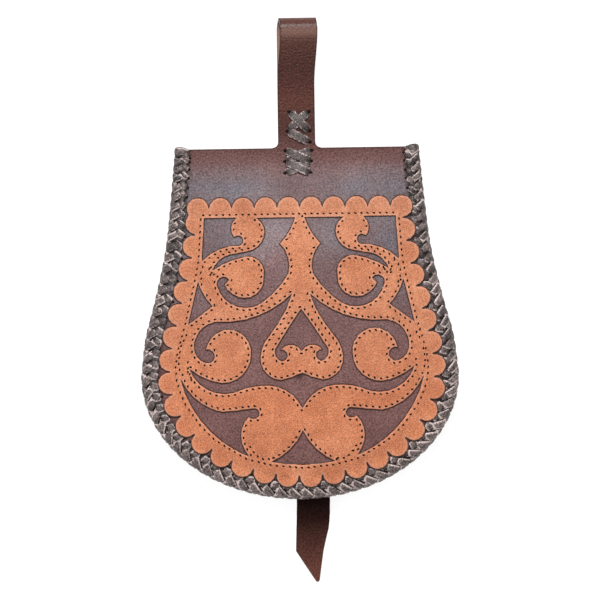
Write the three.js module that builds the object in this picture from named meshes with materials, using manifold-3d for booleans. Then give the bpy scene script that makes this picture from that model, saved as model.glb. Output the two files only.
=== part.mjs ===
// Belt bag of dark leather: a lyre-shaped flap over a pouch, its edges laced with a plaited thong,
// a pierced suede appliqué on the flap, a strap loop for the belt and a closing strap below.
// Millimetres. It lies on its back: +X to the right, +Y towards the belt loop, +Z out of the flap.

import * as THREE from 'three';
import { mergeVertices } from 'three/addons/utils/BufferGeometryUtils.js';
import Module from 'manifold-3d';

const wasm = await Module();
wasm.setup();
const { smoothstep } = THREE.MathUtils;

// Thicknesses and the air left between neighbours
const leather = 2.0;
const pocketLeather = 1.6;
const strapLeather = 1.6;
const suede = 1.5;
const braidWall = 1.7;
const laceThickness = 1.0;
const air = 0.3;
const braidAir = 0.6;

// Outline seen from the front, over the braid: sides by table, lower part half an ellipse
const topY = 83.7;
const bellyY = -41;
const bellyHalf = 87.5;
const bellyDrop = 68.5;
const sideRows = [
  { y: bellyY, half: bellyHalf },
  { y: -20, half: 84.8 },
  { y: 0, half: 79.5 },
  { y: 27.5, half: 73.3 },
  { y: 55, half: 69.9 },
  { y: 90, half: 66.6 },
];

// Heights of the body, from the surface it lies on
const panelZ = braidWall + air;
const flangeZ = panelZ + leather + air;
const flangeTopZ = flangeZ + pocketLeather;
const mouthY = 48;
const panelBend = { from: 48, to: 61 };
const bodyInset = 4 + braidWall + air;
const bodyBand = 8;

// The pocket's dome stands on its flange and is lower at the mouth
const pocketRise = 15.6;
const mouthDip = 0.38;
const domePower = 2.4;
const domeFoot = bodyInset + bodyBand + 2;

// The flap's underside: edge level, lift over the closing strap, belly and upper shoulder
const flapInset = braidWall + air;
const flapBand = 6.2;
const endRows = 0.2;
const flapEdgeZ = 9.4;
const strapLift = 3.0;
const bellyRise = 14;
const shoulder = { top: 78, run: 53 };

// Belt loop: strap folded over at the top, its end tucked between flap and back panel
const loopTopY = 155.65;
const strapHalf = 10.2;
const filletRadius = 3;
const loopSlip = { from: 118, to: 150, by: 2.2 };
const loopClosed = 107;
const loopOpen = 118;
const tuckedEndY = 66;
const tuckedZ = flapEdgeZ - air - leather;
const panelTopZ = tuckedZ - air - leather;

// Crossed laces: one row for each pair of holes, and the single end of the slanting run
const laceRows = [
  { y: 103.6, left: -3.7, right: 6.6 },
  { y: 93.0, left: -4.7, right: 6.9 },
  { y: 82.3, left: -6.0, right: 7.8 },
  { y: 76.4, left: -6.3, right: 7.5 },
  { y: 69.9, left: -6.3, right: 7.3 },
];
const slantEnd = { x: 7.0, y: 86.8 };
const laceHalf = 1.9;
const laceLeg = { x: 2.2, y: 1.4 };

// Closing strap: its underside and its two edges, a row for each bend
const strapRows = [
  { y: -61.0, z: 20.6, left: -3.3, right: 15.4 },
  { y: -67.0, z: 20.0, left: -3.3, right: 15.4 },
  { y: -72.0, z: 18.6, left: -3.3, right: 15.4 },
  { y: -79.0, z: 15.4, left: -3.3, right: 15.4 },
  { y: -85.0, z: 12.0, left: -3.2, right: 15.4 },
  { y: -90.0, z: 9.2, left: -3.1, right: 15.4 },
  { y: -94.0, z: 8.3, left: -3.0, right: 15.4 },
  { y: -106.5, z: 8.3, left: -2.8, right: 15.4 },
  { y: -111.0, z: 7.2, left: -2.8, right: 15.4 },
  { y: -117.0, z: 3.6, left: -3.0, right: 15.3 },
  { y: -121.5, z: 1.3, left: -3.1, right: 15.0 },
  { y: -126.0, z: 0.2, left: -3.3, right: 14.5 },
  { y: -132.0, z: 0.0, left: -3.5, right: 13.0 },
  { y: -138.5, z: 0.0, left: -3.7, right: 11.5 },
  { y: -148.0, z: 0.0, left: 2.4, right: 10.1 },
  { y: -154.6, z: 0.0, left: 6.7, right: 9.2 },
  { y: -155.65, z: 0.0, left: 7.5, right: 8.6 },
];

// Keeper on the pocket: a bar across the strap, its feet at the ends
const keeper = { centreX: 6.1, fromY: -80, toY: -86, thickness: 1.4, lift: 0.5 };
const keeperRows = [
  { x: -16.5, overStrap: false },
  { x: -13.0, overStrap: false },
  { x: -10.4, overStrap: true },
  { x: 10.4, overStrap: true },
  { x: 13.0, overStrap: false },
  { x: 16.5, overStrap: false },
];

// Scalloped rim of the appliqué: discs along the top, then stepped round from the right corner
const scallop = { radius: 6.2, pitch: 12.76, topY: 50.8, alongTop: 9 };
const scallopInset = { side: 14.3, bottom: 12.6 };
const suedeShift = 1.1;
const curveTolerance = 0.16;
const discSamples = 300;

// Gaps of the appliqué, right half, counter-clockwise. rise is how far the edge to the next row
// stands off its chord, positive where the gap swells and negative where the suede does.
const pairedGaps = {
  upperCorner: [
    { x: 35.0, y: 45.5, rise: -2.4 },
    { x: 36.2, y: 34.6, rise: 3.4 },
    { x: 33.0, y: 30.5, rise: -2.4 },
    { x: 54.0, y: 22.3, rise: 0 },
    { x: 52.5, y: 45.5, rise: 0 },
  ],
  roundUpperScroll: [
    { x: 2.7, y: 45.2, rise: 0.9 },
    { x: 11.3, y: 31.0, rise: 2.3 },
    { x: 7.0, y: 14.5, rise: 1.3 },
    { x: 22.5, y: -1.7, rise: 6.3 },
    { x: 45.7, y: 8.6, rise: 3.0 },
    { x: 39.3, y: 11.6, rise: 0 },
    { x: 42.0, y: 9.0, rise: -1.9 },
    { x: 31.0, y: 1.3, rise: -3.6 },
    { x: 20.0, y: 13.0, rise: -3.6 },
    { x: 29.0, y: 24.5, rise: -1.3 },
    { x: 48.2, y: 17.0, rise: 1.7 },
    { x: 38.0, y: 25.3, rise: 0 },
    { x: 29.0, y: 26.8, rise: -2.6 },
    { x: 19.2, y: 37.5, rise: -1.2 },
    { x: 23.6, y: 45.2, rise: 0 },
  ],
  sideTriangle: [
    { x: 56.4, y: 10.5, rise: -1.0 },
    { x: 48.8, y: -2.7, rise: 0 },
    { x: 62.0, y: -12.5, rise: 0 },
  ],
  lowerSide: [
    { x: 66.8, y: -42.3, rise: -3.7 },
    { x: 44.0, y: -61.0, rise: 0 },
    { x: 26.0, y: -59.2, rise: 2.8 },
    { x: 27.3, y: -64.4, rise: 0.3 },
    { x: 29.5, y: -63.3, rise: -1.2 },
    { x: 34.2, y: -74.0, rise: -1.0 },
    { x: 30.0, y: -85.2, rise: 6.7 },
  ],
};
const middleGaps = {
  roundLowerScrolls: [
    { x: 0.0, y: -59.0, rise: -2.9 },
    { x: 17.5, y: -46.4, rise: -0.8 },
    { x: 33.0, y: -48.4, rise: 6.9 },
    { x: 61.5, y: -37.3, rise: -1.4 },
    { x: 44.0, y: -45.2, rise: -4.6 },
    { x: 27.6, y: -30.0, rise: -4.4 },
    { x: 40.5, y: -15.4, rise: -2.8 },
    { x: 52.8, y: -26.7, rise: 4.7 },
    { x: 52.5, y: -33.7, rise: 2.3 },
    { x: 58.8, y: -23.5, rise: 2.8 },
    { x: 47.0, y: -11.5, rise: -4.9 },
    { x: 5.0, y: 3.3, rise: 1.2 },
    { x: 17.5, y: -18.8, rise: -1.1 },
    { x: 22.9, y: -31.0, rise: -3.6 },
    { x: 11.5, y: -44.0, rise: -0.4 },
    { x: 0.0, y: -40.0, rise: 0 },
  ],
  heart: [
    { x: 0.0, y: -27.8, rise: -3.3 },
    { x: 11.6, y: -27.2, rise: 3.2 },
    { x: 10.8, y: -33.3, rise: 1.5 },
    { x: 14.3, y: -26.8, rise: 0.2 },
    { x: 0.0, y: -5.0, rise: 0 },
  ],
  bottomTriangle: [
    { x: 0.0, y: -90.2, rise: 0.3 },
    { x: 17.2, y: -88.5, rise: -2.3 },
    { x: 0.0, y: -71.8, rise: 0 },
  ],
};

// Finishes
const finishes = {
  brownLeather: { color: '#513631', roughness: 0.55, metalness: 0 },
  orangeSuede: { color: '#c47a50', roughness: 0.95, metalness: 0 },
  greyLace: { color: '#5c534f', roughness: 0.6, metalness: 0 },
};

// A box of columns by rows by one layer, each corner moved by place(u, row, w):
// u runs -1 to 1 across, row counts from the first to the last, w is 0 below and 1 above.
function bent(columns, rows, place) {
  const geometry = new THREE.BoxGeometry(2, 2, 2, columns, rows, 1);
  const position = geometry.attributes.position;
  for (let i = 0; i < position.count; i++) {
    const row = Math.round(rows * (1 - position.getY(i)) / 2);
    const { x, y, z } = place(position.getX(i), row, (position.getZ(i) + 1) / 2);
    position.setXYZ(i, x, y, z);
  }
  splitHigh(geometry);
  return solid(geometry);
}

// Splits each quad along its higher diagonal, so that both faces of a sheet are split alike
function splitHigh(geometry) {
  const { index } = geometry;
  const heightOf = (corner) => geometry.attributes.position.getZ(corner);
  for (let i = 0; i < index.count; i += 6) {
    const [a, b, d, , c] = index.array.slice(i, i + 6);
    if (heightOf(a) + heightOf(c) > heightOf(b) + heightOf(d)) index.array.set([a, b, c, a, c, d], i);
  }
}

// A closed geometry as a solid: corners merged, flat slivers dropped, faces turned out
function solid(geometry) {
  geometry.deleteAttribute('normal');
  geometry.deleteAttribute('uv');
  const merged = mergeVertices(geometry, 1e-3);
  const corners = Array.from(merged.index.array);
  const kept = [];
  for (let i = 0; i < corners.length; i += 3) {
    const [a, b, c] = corners.slice(i, i + 3);
    if (a !== b && b !== c && c !== a) kept.push(a, b, c);
  }
  const points = merged.attributes.position.array;
  if (volume(points, kept) < 0) kept.reverse();
  return new wasm.Manifold(new wasm.Mesh({
    numProp: 3,
    vertProperties: new Float32Array(points),
    triVerts: new Uint32Array(kept),
  }));
}

function volume(points, corners) {
  const [a, b, c] = [new THREE.Vector3(), new THREE.Vector3(), new THREE.Vector3()];
  let sum = 0;
  for (let i = 0; i < corners.length; i += 3) {
    a.fromArray(points, 3 * corners[i]);
    b.fromArray(points, 3 * corners[i + 1]);
    c.fromArray(points, 3 * corners[i + 2]);
    sum += a.dot(b.cross(c)) / 6;
  }
  return sum;
}

function piece(name, body, finish) {
  const { vertProperties, triVerts } = body.getMesh();
  const geometry = new THREE.BufferGeometry();
  geometry.setAttribute('position', new THREE.BufferAttribute(vertProperties, 3));
  geometry.setIndex(new THREE.BufferAttribute(triVerts, 1));
  geometry.computeVertexNormals();
  const mesh = new THREE.Mesh(geometry, new THREE.MeshStandardMaterial(finishes[finish]));
  mesh.name = name;
  return mesh;
}

// Outline set in from the silhouette. row(k) is its right side at row k, rim(k) goes on up the left.
const sideCurve = new THREE.CubicInterpolant(
  sideRows.map((row) => row.y),
  sideRows.map((row) => row.half),
  1,
);
const sideHalf = (y) => sideCurve.evaluate(y)[0];

function outline({ side, bottom = side, top, upper, lower }) {
  const rows = upper + lower;
  const row = (k) => {
    if (k <= upper) {
      const y = THREE.MathUtils.lerp(top, bellyY, k / upper);
      return { x: sideHalf(y) - side, y };
    }
    const turn = Math.PI / 2 * (k - upper) / lower;
    return {
      x: (bellyHalf - side) * Math.cos(turn),
      y: bellyY - (bellyDrop - bottom) * Math.sin(turn),
    };
  };
  const rim = (k) => {
    if (k <= rows) return row(k);
    const { x, y } = row(2 * rows - k);
    return { x: -x, y };
  };
  return { rows, row, rim };
}

// 0 on the middle line of an outline set in by inset, 1 on the outline itself
function spread(x, y, inset) {
  if (y > bellyY) return Math.abs(x) / (sideHalf(y) - inset);
  return Math.hypot(x / (bellyHalf - inset), (bellyY - y) / (bellyDrop - inset));
}

// Half the width of that outline at one y
function halfAt(y, inset) {
  if (y > bellyY) return sideHalf(y) - inset;
  const down = Math.min(1, (bellyY - y) / (bellyDrop - inset));
  return (bellyHalf - inset) * Math.sqrt(1 - down ** 2);
}

// Surfaces that the pieces follow
function flapUnder(x, y) {
  const lift = strapLift * smoothstep(bellyY - y, 0, bellyDrop);
  const rise = bellyRise * smoothstep(shoulder.top - y, 0, shoulder.run);
  return flapEdgeZ + lift + rise * (1 - spread(x, y, flapInset) ** domePower);
}

function pocketTop(x, y) {
  const rise = pocketRise * (1 - mouthDip * smoothstep(y, 0, mouthY));
  return flangeTopZ + rise * Math.max(0, 1 - spread(x, y, domeFoot) ** domePower);
}

function panelUnder(y) {
  return THREE.MathUtils.lerp(panelZ, panelTopZ, smoothstep(y, panelBend.from, panelBend.to));
}

// A sheet inside an outline, from its lower surface up by its thickness.
// With a flange, the outermost column on each side ends on the outline set in by that flange.
function sheet(columns, shape, under, thickness, flange) {
  const flat = 1 - 2 / columns;
  return bent(columns, shape.rows, (u, k, w) => {
    const edge = shape.row(k);
    let x = u * edge.x;
    if (flange && Math.abs(u) < 1) x = u / flat * halfAt(edge.y, flange);
    return { x, y: edge.y, z: under(x, edge.y) + w * thickness };
  });
}

// A channel of plaited lace round an edge: band deep on both faces, closed round the outside,
// and past the edge's two ends by endRows. level(x, y) is the middle of the leather it holds and
// halfHeld half that leather's thickness.
function braid(shape, { band, level, halfHeld, clear }) {
  const slot = halfHeld + clear;
  const out = slot + braidWall;
  const inner = [[1, slot], [0, slot, -air], [0, slot / 3, -air]];
  const outer = [[1, out], [0, out, air], [0, out * 0.45, -air - braidWall]];
  const last = 2 * shape.rows;
  return bent(5, last + 2, (u, row, w) => {
    const k = THREE.MathUtils.clamp(row - 1, -endRows, last + endRows);
    const column = Math.round((u + 1) * 2.5);
    const [deep, height, offset = 0] = (w ? outer : inner)[Math.min(column, 5 - column)];
    const here = shape.rim(k);
    const inset = deep * band(here) + offset;
    const ahead = shape.rim(k + 0.01);
    const behind = shape.rim(k - 0.01);
    const length = Math.hypot(ahead.x - behind.x, ahead.y - behind.y);
    const x = here.x + inset * (ahead.y - behind.y) / length;
    const y = here.y - inset * (ahead.x - behind.x) / length;
    return { x, y, z: level(x, y) + (column < 3 ? height : -height) };
  });
}

// Flap with the belt strap: the strap runs up the front, folds over and comes down behind
function beltStrap() {
  const fold = (flapEdgeZ + leather) / 2;
  const reach = fold - leather / 2;
  const foldY = loopTopY - fold;
  const front = flapEdgeZ + leather / 2;
  const slip = (y) => loopSlip.by * smoothstep(y, loopSlip.from, loopSlip.to);
  const path = [];
  for (const step of [-4.7, 0, 0.4, 1.2, filletRadius, 24, 34, 44, 54]) {
    const y = topY + step;
    const short = filletRadius - THREE.MathUtils.clamp(step, 0, filletRadius);
    const flare = filletRadius - Math.sqrt(filletRadius ** 2 - short ** 2);
    path.push({ y, z: front, x: slip(y), half: strapHalf + flare });
  }
  for (let i = 0; i <= 8; i++) {
    const turn = Math.PI * i / 8;
    const y = foldY + reach * Math.sin(turn);
    path.push({ y, z: fold + reach * Math.cos(turn), x: loopSlip.by * (1 - i / 8), half: strapHalf });
  }
  for (let i = 0; i <= 5; i++) {
    const z = THREE.MathUtils.lerp(fold - reach, tuckedZ + leather / 2, smoothstep(i, 0, 5));
    path.push({ y: THREE.MathUtils.lerp(loopOpen, loopClosed, i / 5), z, x: 0, half: strapHalf });
  }
  path.push({ y: tuckedEndY, z: tuckedZ + leather / 2, x: 0, half: strapHalf });
  return bent(1, path.length - 1, (u, k, w) => {
    const here = path[k];
    const ahead = path[Math.min(k + 1, path.length - 1)];
    const behind = path[Math.max(k - 1, 0)];
    const length = Math.hypot(ahead.y - behind.y, ahead.z - behind.z);
    const off = leather * (w - 0.5) / length;
    return {
      x: here.x + u * here.half,
      y: here.y - off * (ahead.z - behind.z),
      z: here.z + off * (ahead.y - behind.y),
    };
  });
}

// Arc from one row of a gap to the next, without its last point
function arcPoints(from, to, rise) {
  if (Math.abs(rise) < curveTolerance) return [new THREE.Vector2(from.x, from.y)];
  const chord = new THREE.Vector2(to.x - from.x, to.y - from.y);
  const half = chord.length() / 2;
  const radius = (half ** 2 + rise ** 2) / (2 * rise);
  const side = new THREE.Vector2(chord.y, -chord.x).normalize();
  const centre = new THREE.Vector2(from.x + to.x, from.y + to.y).divideScalar(2);
  centre.addScaledVector(side, rise - radius);
  const sweep = 4 * Math.atan(rise / half);
  const steps = arcSteps(sweep, radius);
  const points = [];
  for (let i = 0; i < steps; i++) {
    points.push(new THREE.Vector2(from.x, from.y).rotateAround(centre, sweep * i / steps));
  }
  return points;
}

function arcSteps(sweep, radius) {
  const step = 2 * Math.acos(1 - curveTolerance / Math.max(Math.abs(radius), 1));
  return Math.max(2, Math.ceil(Math.abs(sweep) / step));
}

function gapEdges(rows, closed) {
  const points = [];
  const last = closed ? rows.length : rows.length - 1;
  for (let i = 0; i < last; i++) {
    points.push(...arcPoints(rows[i], rows[(i + 1) % rows.length], rows[i].rise));
  }
  return points;
}

const mirrored = (points) => points.map((p) => new THREE.Vector2(-p.x, p.y)).reverse();

function gapShapes() {
  const shapes = [];
  for (const rows of Object.values(pairedGaps)) {
    const right = gapEdges(rows, true);
    shapes.push(new THREE.Shape(right), new THREE.Shape(mirrored(right)));
  }
  for (const rows of Object.values(middleGaps)) {
    const end = rows[rows.length - 1];
    const right = gapEdges(rows, false);
    const left = mirrored(right.slice(1));
    shapes.push(new THREE.Shape([...right, new THREE.Vector2(end.x, end.y), ...left]));
  }
  return shapes;
}

// Line of the rim's discs, from the upper right corner round to the upper left
function scallopLine() {
  const way = outline({ ...scallopInset, top: scallop.topY, upper: 6, lower: 8 });
  const points = [];
  for (let k = 0; k <= 2 * way.rows; k++) points.push(new THREE.Vector2(way.rim(k).x, way.rim(k).y));
  return new THREE.SplineCurve(points);
}

// Centres of the rim's discs, clockwise from the upper left corner
function scallopCentres() {
  const line = scallopLine();
  const length = line.getLength();
  const corner = line.getPoint(0);
  const centres = [];
  for (let i = 0; i < scallop.alongTop; i++) {
    centres.push(new THREE.Vector2(corner.x * (2 * i / scallop.alongTop - 1), corner.y));
  }
  for (let along = 0; along < length - scallop.pitch / 2; along += scallop.pitch) {
    centres.push(line.getPointAt(along / length));
  }
  return centres;
}

function scallopedShape() {
  const { radius } = scallop;
  const centres = scallopCentres();
  const points = [];
  centres.forEach((centre, i) => {
    const before = centres[(i + centres.length - 1) % centres.length].clone().sub(centre);
    const after = centres[(i + 1) % centres.length].clone().sub(centre);
    const start = before.angle() - Math.acos(Math.min(1, before.length() / (2 * radius)));
    const end = after.angle() + Math.acos(Math.min(1, after.length() / (2 * radius)));
    const sweep = THREE.MathUtils.euclideanModulo(start - end, 2 * Math.PI);
    const steps = arcSteps(sweep, radius);
    for (let j = 0; j <= steps; j++) {
      const angle = start - sweep * j / steps;
      points.push(new THREE.Vector2(radius * Math.cos(angle), radius * Math.sin(angle)).add(centre));
    }
  });
  return new THREE.Shape(points.filter((p, i) => p.distanceTo(points.at(i - 1)) > curveTolerance));
}

// The whole ornament as a tall block, to be cut to the layer that lies on the flap
function ornament(depth) {
  const block = (shape) => {
    const geometry = new THREE.ExtrudeGeometry(shape, { depth, bevelEnabled: false });
    return solid(geometry.translate(suedeShift, 0, 0));
  };
  return gapShapes().reduce((rest, gap) => rest.subtract(block(gap)), block(scallopedShape()));
}

// Flat run of lace from one hole to another, lying on base(x, y)
function laceRun(from, to, base) {
  const along = new THREE.Vector2(to.x - from.x, to.y - from.y).normalize();
  const start = new THREE.Vector2(from.x, from.y).addScaledVector(along, -laceLeg.x / 2);
  const end = new THREE.Vector2(to.x, to.y).addScaledVector(along, laceLeg.x / 2);
  return bent(1, 3, (u, k, w) => {
    const x = THREE.MathUtils.lerp(start.x, end.x, k / 3) - u * laceHalf * along.y;
    const y = THREE.MathUtils.lerp(start.y, end.y, k / 3) + u * laceHalf * along.x;
    return { x, y, z: base(x, y) + w * laceThickness };
  });
}

function post(hole, size, low, high) {
  const box = new THREE.BoxGeometry(size.x, size.y, high - low);
  box.translate(hole.x, hole.y, (low + high) / 2);
  return solid(box);
}

// Holes of the lacing and how deep each leg goes
const strapBackZ = tuckedZ - air - laceThickness;
const panelBackZ = panelTopZ - air - laceThickness;
const holes = { left: [], right: [] };
for (const { y, left, right } of laceRows) {
  const backZ = y > topY ? strapBackZ : panelBackZ;
  holes.left.push({ x: left, y, backZ });
  holes.right.push({ x: right, y, backZ });
}
const slantHole = { ...slantEnd, backZ: panelBackZ };
const allHoles = [...holes.left, ...holes.right, slantHole];
const holeSize = { x: laceLeg.x + 2 * air, y: laceLeg.y + 2 * air };
const faceOfFlap = (x, y) => (y > shoulder.top ? flapEdgeZ : flapUnder(x, y)) + leather + air;

function lacing() {
  const { left, right } = holes;
  const runs = [[left[1], slantHole]];
  for (const [i, j] of [[0, 1], [2, 3], [3, 4]]) {
    runs.push([left[i], right[j]], [right[i], left[j]]);
  }
  let body = laceRun(...runs[0], faceOfFlap);
  for (const run of runs.slice(1)) body = body.add(laceRun(...run, faceOfFlap));
  for (const hole of allHoles) {
    body = body.add(post(hole, laceLeg, hole.backZ, faceOfFlap(hole.x, hole.y) + laceThickness / 2));
  }
  const backRuns = [[left[0], left[1]], [right[0], right[1]], [slantHole, right[2]]];
  for (const hand of [left, right]) backRuns.push([hand[2], hand[3]], [hand[3], hand[4]]);
  for (const [from, to] of backRuns) body = body.add(laceRun(from, to, () => from.backZ));
  return body;
}

function cutHoles(body) {
  const high = flapEdgeZ + bellyRise;
  return allHoles.reduce((rest, hole) => rest.subtract(post(hole, holeSize, hole.backZ, high)), body);
}

// The pieces
const flapShape = outline({ side: flapInset, top: topY, upper: 11, lower: 9 });
const panelShape = outline({ side: bodyInset, top: topY, upper: 11, lower: 8 });
const pocketShape = outline({ side: bodyInset, top: mouthY, upper: 7, lower: 8 });

const flapAndLoop = cutHoles(sheet(14, flapShape, flapUnder, leather).add(beltStrap()));
const backPanel = cutHoles(sheet(2, panelShape, (x, y) => panelUnder(y), leather));
const pocketUnder = (x, y) => pocketTop(x, y) - pocketLeather;
const pocket = sheet(14, pocketShape, pocketUnder, pocketLeather, domeFoot);

const suedeUnder = (x, y) => flapUnder(x, y) + leather + air;
const suedeLayer = sheet(14, flapShape, suedeUnder, suede);
const applique = suedeLayer.intersect(ornament(2 * (flapEdgeZ + bellyRise)));

const discLine = scallopLine().getSpacedPoints(discSamples);
const flapBraid = braid(flapShape, {
  band: ({ x, y }) => {
    const away = discLine.map((point) => Math.hypot(point.x + suedeShift - x, point.y - y));
    return Math.min(flapBand, Math.min(...away) - scallop.radius - braidAir);
  },
  level: (x, y) => flapUnder(x, y) + leather / 2,
  halfHeld: leather / 2,
  clear: braidAir,
});
const bodyBraid = braid(pocketShape, {
  band: () => bodyBand,
  level: () => (panelZ + flangeTopZ) / 2,
  halfHeld: (flangeTopZ - panelZ) / 2,
  clear: air,
});

const closingStrap = bent(1, strapRows.length - 1, (u, k, w) => {
  const { y, z, left, right } = strapRows[k];
  return { x: u < 0 ? left : right, y, z: z + w * strapLeather };
});
const strapLevel = new THREE.LinearInterpolant(
  strapRows.map((row) => -row.y),
  strapRows.map((row) => row.z + strapLeather),
  1,
);
const strapKeeper = bent(keeperRows.length - 1, 1, (u, k, w) => {
  const { x: across, overStrap } = keeperRows[Math.round((u + 1) / 2 * (keeperRows.length - 1))];
  const x = keeper.centreX + across;
  const y = k ? keeper.toY : keeper.fromY;
  const base = overStrap ? strapLevel.evaluate(-y)[0] : pocketTop(x, y);
  return { x, y, z: base + keeper.lift + w * keeper.thickness };
});

const bag = new THREE.Group();
bag.add(
  piece('flap_and_loop', flapAndLoop, 'brownLeather'),
  piece('flap_braid', flapBraid, 'greyLace'),
  piece('suede_applique', applique, 'orangeSuede'),
  piece('loop_lacing', lacing(), 'greyLace'),
  piece('closing_strap', closingStrap, 'brownLeather'),
  piece('back_panel', backPanel, 'brownLeather'),
  piece('pocket', pocket, 'brownLeather'),
  piece('body_braid', bodyBraid, 'greyLace'),
  piece('strap_keeper', strapKeeper, 'brownLeather'),
);

export default bag;
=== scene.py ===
import bpy
import bmesh
import math
import random
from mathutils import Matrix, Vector, kdtree, noise


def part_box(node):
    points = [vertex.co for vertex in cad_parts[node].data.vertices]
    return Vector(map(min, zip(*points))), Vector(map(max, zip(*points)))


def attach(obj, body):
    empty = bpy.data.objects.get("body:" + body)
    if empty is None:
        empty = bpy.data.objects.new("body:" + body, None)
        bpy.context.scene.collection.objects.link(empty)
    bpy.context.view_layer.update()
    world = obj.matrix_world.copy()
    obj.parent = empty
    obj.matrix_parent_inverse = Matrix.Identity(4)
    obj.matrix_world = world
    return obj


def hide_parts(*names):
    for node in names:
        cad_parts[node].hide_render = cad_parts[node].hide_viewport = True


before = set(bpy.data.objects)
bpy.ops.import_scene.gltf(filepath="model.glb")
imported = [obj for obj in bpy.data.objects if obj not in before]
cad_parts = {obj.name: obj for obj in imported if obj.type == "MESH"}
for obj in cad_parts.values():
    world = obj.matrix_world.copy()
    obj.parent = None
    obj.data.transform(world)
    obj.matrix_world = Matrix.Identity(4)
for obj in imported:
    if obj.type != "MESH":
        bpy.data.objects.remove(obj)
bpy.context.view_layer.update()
mm = 0.001
seam = 0.02 * mm  # points closer than this are one
rng = random.Random(11)
print("frame loaded:", len(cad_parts), "nodes")

# outline and heights that the part and the scene share, in mm; sides holds rows of y and half width
body = {
    "topY": 83.7, "bellyY": -41, "bellyHalf": 87.5, "bellyDrop": 68.5,
    "sides": [(-41, 87.5), (-20, 84.8), (0, 79.5), (27.5, 73.3), (55, 69.9), (90, 66.6)],
    "leather": 2.0, "pocketLeather": 1.6, "domePower": 2.4,
    "flapEdge": 2.0, "flapEdgeZ": 9.4, "strapLift": 3.0,
    "bellyRise": 14, "shoulderTop": 78, "shoulderRun": 53,
    "bodyEdge": 6.0, "panelZ": 2.0, "panelTopZ": 4.8, "panelBend": (48, 61),
    "mouthY": 48, "mouthDip": 0.38, "flangeTop": 5.9, "pocketRise": 15.6, "domeFoot": 16,
}


def smoothStep(x, low, high):
    t = min(1, max(0, (x - low) / (high - low)))
    return t * t * (3 - 2 * t)


def lerp(a, b, t):
    return a + (b - a) * t


def rowAt(rows, x):
    # the row at or below x, with one left above it
    return max(0, min(len(rows) - 2, sum(x >= row[0] for row in rows) - 1))


def alongRows(rows, x):
    # straight from row to row of x and value
    i = rowAt(rows, x)
    return lerp(rows[i][1], rows[i + 1][1], (x - rows[i][0]) / (rows[i + 1][0] - rows[i][0]))


def sideHalf(y):
    # a smooth curve through the rows of the sides
    rows = body["sides"]
    slopes = [(b[1] - a[1]) / (b[0] - a[0]) for a, b in zip(rows, rows[1:])]
    i = rowAt(rows, y)
    span = rows[i + 1][0] - rows[i][0]
    before = (slopes[max(i - 1, 0)] + slopes[i]) / 2
    after = (slopes[i] + slopes[min(i + 1, len(slopes) - 1)]) / 2
    t = (y - rows[i][0]) / span
    return (rows[i][1] * (2 * t ** 3 - 3 * t * t + 1) + rows[i + 1][1] * (3 * t * t - 2 * t ** 3)
            + span * before * (t ** 3 - 2 * t * t + t) + span * after * (t ** 3 - t * t))


def spread(x, y, inset):
    # 0 in the middle, 1 on the outline set in by inset
    if y > body["bellyY"]:
        return abs(x) / (sideHalf(y) - inset)
    return math.hypot(x / (body["bellyHalf"] - inset), (body["bellyY"] - y) / (body["bellyDrop"] - inset))


def outlineRow(f, upper, lower, inset, top):
    # half width and y of a row, f from 0 at the top to 1 at the bottom
    k = f * (upper + lower)
    if k <= upper:
        y = lerp(top, body["bellyY"], k / upper)
        return sideHalf(y) - inset, y
    turn = math.pi / 2 * (k - upper) / lower
    half = (body["bellyHalf"] - inset) * math.cos(turn)
    return half, body["bellyY"] - (body["bellyDrop"] - inset) * math.sin(turn)


def fromSilhouette(x, y):
    if y > body["bellyY"]:
        return sideHalf(y) - abs(x)
    return math.hypot(x, body["bellyY"] - y) * (1 / max(spread(x, y, 0), 0.01) - 1)


def flapMiddle(x, y):
    # height of the middle of the flap's leather
    lift = body["strapLift"] * smoothStep(body["bellyY"] - y, 0, body["bellyDrop"])
    rise = body["bellyRise"] * smoothStep(body["shoulderTop"] - y, 0, body["shoulderRun"])
    dome = 1 - spread(x, y, body["flapEdge"]) ** body["domePower"]
    return body["flapEdgeZ"] + body["leather"] / 2 + lift + rise * dome


def layGrid(bm, columns, rows, place, *layers):
    # u runs from -1 to 1 across, f from 0 to 1 along; layers holds vertex layers, each with its formula
    for v in bmesh.ops.create_grid(bm, x_segments=columns, y_segments=rows, size=1)["verts"]:
        u, f = v.co.x, (1 - v.co.y) / 2
        v.co = Vector(place(u, f)) * mm
        for layer, value in zip(layers[::2], layers[1::2]):
            v[layer] = value(u, f)


def makePiece(name, bm, material, nodes=()):
    for face in bm.faces:
        face.smooth = True
    mesh = bpy.data.meshes.new(name)
    bm.to_mesh(mesh)
    bm.free()
    mesh.materials.append(material)
    obj = bpy.data.objects.new(name, mesh)
    bpy.context.scene.collection.objects.link(obj)
    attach(obj, "root")
    if nodes:
        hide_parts(*nodes)
    print("piece", name, len(mesh.polygons), "faces")
    return obj


def thicken(obj, thickness, rounding=0):
    shell = obj.modifiers.new("thickness", "SOLIDIFY")
    shell.thickness = thickness * mm
    shell.offset = 0
    shell.use_even_offset = True
    if rounding:
        edge = obj.modifiers.new("roundedEdge", "BEVEL")
        edge.width = rounding * mm
        edge.segments = 3
        edge.limit_method = "ANGLE"
        edge.angle_limit = math.radians(50)
        edge.harden_normals = True


# nodes for the materials
def startMaterial(name):
    material = bpy.data.materials.new(name)
    material.use_nodes = True
    tree = material.node_tree
    return material, tree, tree.nodes["Principled BSDF"]


def plugIn(tree, plug, value):
    if isinstance(value, bpy.types.NodeSocket):
        tree.links.new(value, plug)
    else:
        plug.default_value = value


def addNode(tree, kind, links=None, **values):
    made = tree.nodes.new(kind)
    for key, value in values.items():
        if key in made.inputs:
            made.inputs[key].default_value = value
        else:
            setattr(made, key, value)
    for key, source in (links or {}).items():
        tree.links.new(source, made.inputs[key])
    return made


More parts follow.
